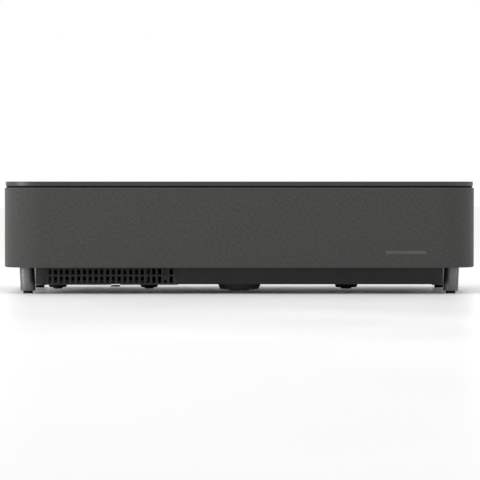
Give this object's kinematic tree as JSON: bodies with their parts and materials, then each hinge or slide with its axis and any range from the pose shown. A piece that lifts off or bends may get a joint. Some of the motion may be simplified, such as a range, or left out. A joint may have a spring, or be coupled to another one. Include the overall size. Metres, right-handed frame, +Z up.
{
  "type": "ultra short throw projector",
  "caption": "Low, wide ultra short throw home projector: cloth sound bar front, flat top with a sunken window, slotted filter drawer, levelling legs.",
  "frame": {"origin": "centre of the outline at the bottom of the four rubber feet, on the table", "axes": "+X to the viewer's right along the 695 mm width, -Y out of the cloth front towards the room, +Y to the wall, +Z up"},
  "size_m": [0.695, 0.3413, 0.165],
  "materials": {
    "cloth": "matte woven, grey charcoal",
    "cover": "fine satin grain",
    "case": "fine satin grain",
    "base": "matte",
    "black_plastic": "matte black",
    "rubber": "matte",
    "leg_metal": "satin graphite metallic",
    "screw_steel": "bright zinc",
    "badge": "satin grey",
    "window_glass": "polished, tinted",
    "filter_paper": "matte fibre",
    "cast_aluminium": "cast",
    "heat_sink": "extruded",
    "prism_glass": "polished",
    "lens_glass": "coated",
    "panel_frame": "matte",
    "phosphor_wheel": "yellow phosphor on metal",
    "mirror": "polished",
    "rotor": "satin",
    "circuit_board": "solder mask",
    "speaker_steel": "matte",
    "speaker_cone": "paper"
  },
  "bodies": {
    "case": {"top_cover": "cover", "window_well": "black_plastic", "window_glass": "window_glass", "upper_case": "case", "side_vent_left": "case", "side_vent_right": "case", "lower_case": "base", "grille_frame": "black_plastic", "grille_cloth": "cloth", "badge_plate": "badge", "low_foot_left": "rubber", "low_foot_inner": "rubber", "low_foot_centre": "rubber", "low_foot_right": "rubber", "terminal_tray": "black_plastic", "mains_inlet": "black_plastic", "optics_case": "cast_aluminium", "prism_cube": "prism_glass", "lcd_panel_red": "panel_frame", "lcd_panel_green": "panel_frame", "lcd_panel_blue": "panel_frame", "laser_module": "cast_aluminium", "lens_barrel": "black_plastic", "concave_mirror": "mirror", "heat_sink": "heat_sink", "exhaust_fan_frame_front": "black_plastic", "exhaust_fan_frame_rear": "black_plastic", "blower_case": "black_plastic", "main_board": "circuit_board", "power_board": "circuit_board", "leg_front_left": "leg_metal", "leg_front_right": "leg_metal", "leg_rear_left": "leg_metal", "leg_rear_right": "leg_metal", "speaker_box_left": "black_plastic", "woofer_left": "speaker_steel", "speaker_box_right": "black_plastic", "woofer_right": "speaker_steel"},
    "filter_drawer": {"filter_cover": "base", "filter_frame": "black_plastic", "filter_media": "filter_paper"},
    "filter_latch": {"filter_latch": "base"},
    "power_button": {"power_button": "black_plastic"},
    "focus_lever": {"focus_lever": "base"},
    "focus_ring": {"focus_ring": "black_plastic"},
    "focus_cell": {"focus_cell": "lens_glass"},
    "front_fan_rotor": {"exhaust_fan_rotor_front": "rotor"},
    "rear_fan_rotor": {"exhaust_fan_rotor_rear": "rotor"},
    "blower_wheel": {"blower_wheel": "rotor"},
    "phosphor_wheel": {"phosphor_wheel": "phosphor_wheel"},
    "left_cone": {"woofer_cone_left": "speaker_cone"},
    "right_cone": {"woofer_cone_right": "speaker_cone"},
    "foot_front_left": {"leg_pad_front_left": "rubber"},
    "stud_front_left": {"leg_stud_front_left": "screw_steel"},
    "foot_front_right": {"leg_pad_front_right": "rubber"},
    "stud_front_right": {"leg_stud_front_right": "screw_steel"},
    "foot_rear_left": {"leg_pad_rear_left": "rubber"},
    "stud_rear_left": {"leg_stud_rear_left": "screw_steel"},
    "foot_rear_right": {"leg_pad_rear_right": "rubber"},
    "stud_rear_right": {"leg_stud_rear_right": "screw_steel"}
  },
  "joints": [
    {"name": "foot_lift_front_left", "type": "slide", "parent": "case", "child": "foot_front_left", "axis": [0, 0, -1], "range_m": [0, 0.005]},
    {"name": "foot_screw_front_left", "type": "hinge", "parent": "foot_front_left", "child": "stud_front_left", "pos_m": [-0.3127, -0.1205, 0], "axis": [0, 0, 1], "range_deg": [0, 1440]},
    {"name": "foot_lift_front_right", "type": "slide", "parent": "case", "child": "foot_front_right", "axis": [0, 0, -1], "range_m": [0, 0.005]},
    {"name": "foot_screw_front_right", "type": "hinge", "parent": "foot_front_right", "child": "stud_front_right", "pos_m": [0.3127, -0.1205, 0], "axis": [0, 0, 1], "range_deg": [0, 1440]},
    {"name": "foot_lift_rear_left", "type": "slide", "parent": "case", "child": "foot_rear_left", "axis": [0, 0, -1], "range_m": [0, 0.005]},
    {"name": "foot_screw_rear_left", "type": "hinge", "parent": "foot_rear_left", "child": "stud_rear_left", "pos_m": [-0.3127, 0.1205, 0], "axis": [0, 0, 1], "range_deg": [0, 1440]},
    {"name": "foot_lift_rear_right", "type": "slide", "parent": "case", "child": "foot_rear_right", "axis": [0, 0, -1], "range_m": [0, 0.005]},
    {"name": "foot_screw_rear_right", "type": "hinge", "parent": "foot_rear_right", "child": "stud_rear_right", "pos_m": [0.3127, 0.1205, 0], "axis": [0, 0, 1], "range_deg": [0, 1440]},
    {"name": "filter_drawer_slide", "type": "slide", "parent": "case", "child": "filter_drawer", "axis": [0, -1, 0], "range_m": [0, 0.12]},
    {"name": "filter_latch_lift", "type": "slide", "parent": "filter_drawer", "child": "filter_latch", "axis": [0, 0, 1], "range_m": [0, 0.001], "stiffness_N_per_m": 300},
    {"name": "power_button_press", "type": "slide", "parent": "case", "child": "power_button", "axis": [0, 0, -1], "range_m": [0, 0.001], "stiffness_N_per_m": 400},
    {"name": "focus_lever_slide", "type": "slide", "parent": "case", "child": "focus_lever", "axis": [1, 0, 0], "range_m": [-0.008, 0.008]},
    {"name": "focus_ring_turn", "type": "hinge", "parent": "case", "child": "focus_ring", "pos_m": [0, -0.019, 0.08], "axis": [0, 1, 0], "range_deg": [-10.5, 10.5]},
    {"name": "focus_cell_slide", "type": "slide", "parent": "case", "child": "focus_cell", "axis": [0, 1, 0], "range_m": [-0.002, 0.002]},
    {"name": "front_fan_spin", "type": "hinge", "parent": "case", "child": "front_fan_rotor", "pos_m": [0.3319, 0.0335, 0.095], "axis": [1, 0, 0], "continuous": true},
    {"name": "rear_fan_spin", "type": "hinge", "parent": "case", "child": "rear_fan_rotor", "pos_m": [0.3319, 0.1045, 0.095], "axis": [1, 0, 0], "continuous": true},
    {"name": "blower_spin", "type": "hinge", "parent": "case", "child": "blower_wheel", "pos_m": [-0.16, -0.0155, 0.06], "axis": [0, 0, 1], "continuous": true},
    {"name": "phosphor_wheel_spin", "type": "hinge", "parent": "case", "child": "phosphor_wheel", "pos_m": [0.1, 0.1355, 0.08], "axis": [1, 0, 0], "continuous": true},
    {"name": "left_cone_travel", "type": "slide", "parent": "case", "child": "left_cone", "axis": [0, 1, 0], "range_m": [-0.002, 0.002], "stiffness_N_per_m": 900},
    {"name": "right_cone_travel", "type": "slide", "parent": "case", "child": "right_cone", "axis": [0, 1, 0], "range_m": [-0.002, 0.002], "stiffness_N_per_m": 900}
  ],
  "couplings": [
    {"joint": "foot_screw_front_left", "follows": "foot_lift_front_left", "rad_per_m": 5026.5},
    {"joint": "foot_screw_front_right", "follows": "foot_lift_front_right", "rad_per_m": 5026.5},
    {"joint": "foot_screw_rear_left", "follows": "foot_lift_rear_left", "rad_per_m": 5026.5},
    {"joint": "foot_screw_rear_right", "follows": "foot_lift_rear_right", "rad_per_m": 5026.5},
    {"joint": "focus_ring_turn", "follows": "focus_lever_slide", "rad_per_m": -21.28},
    {"joint": "focus_cell_slide", "follows": "focus_lever_slide", "ratio": 0.2}
  ]
}
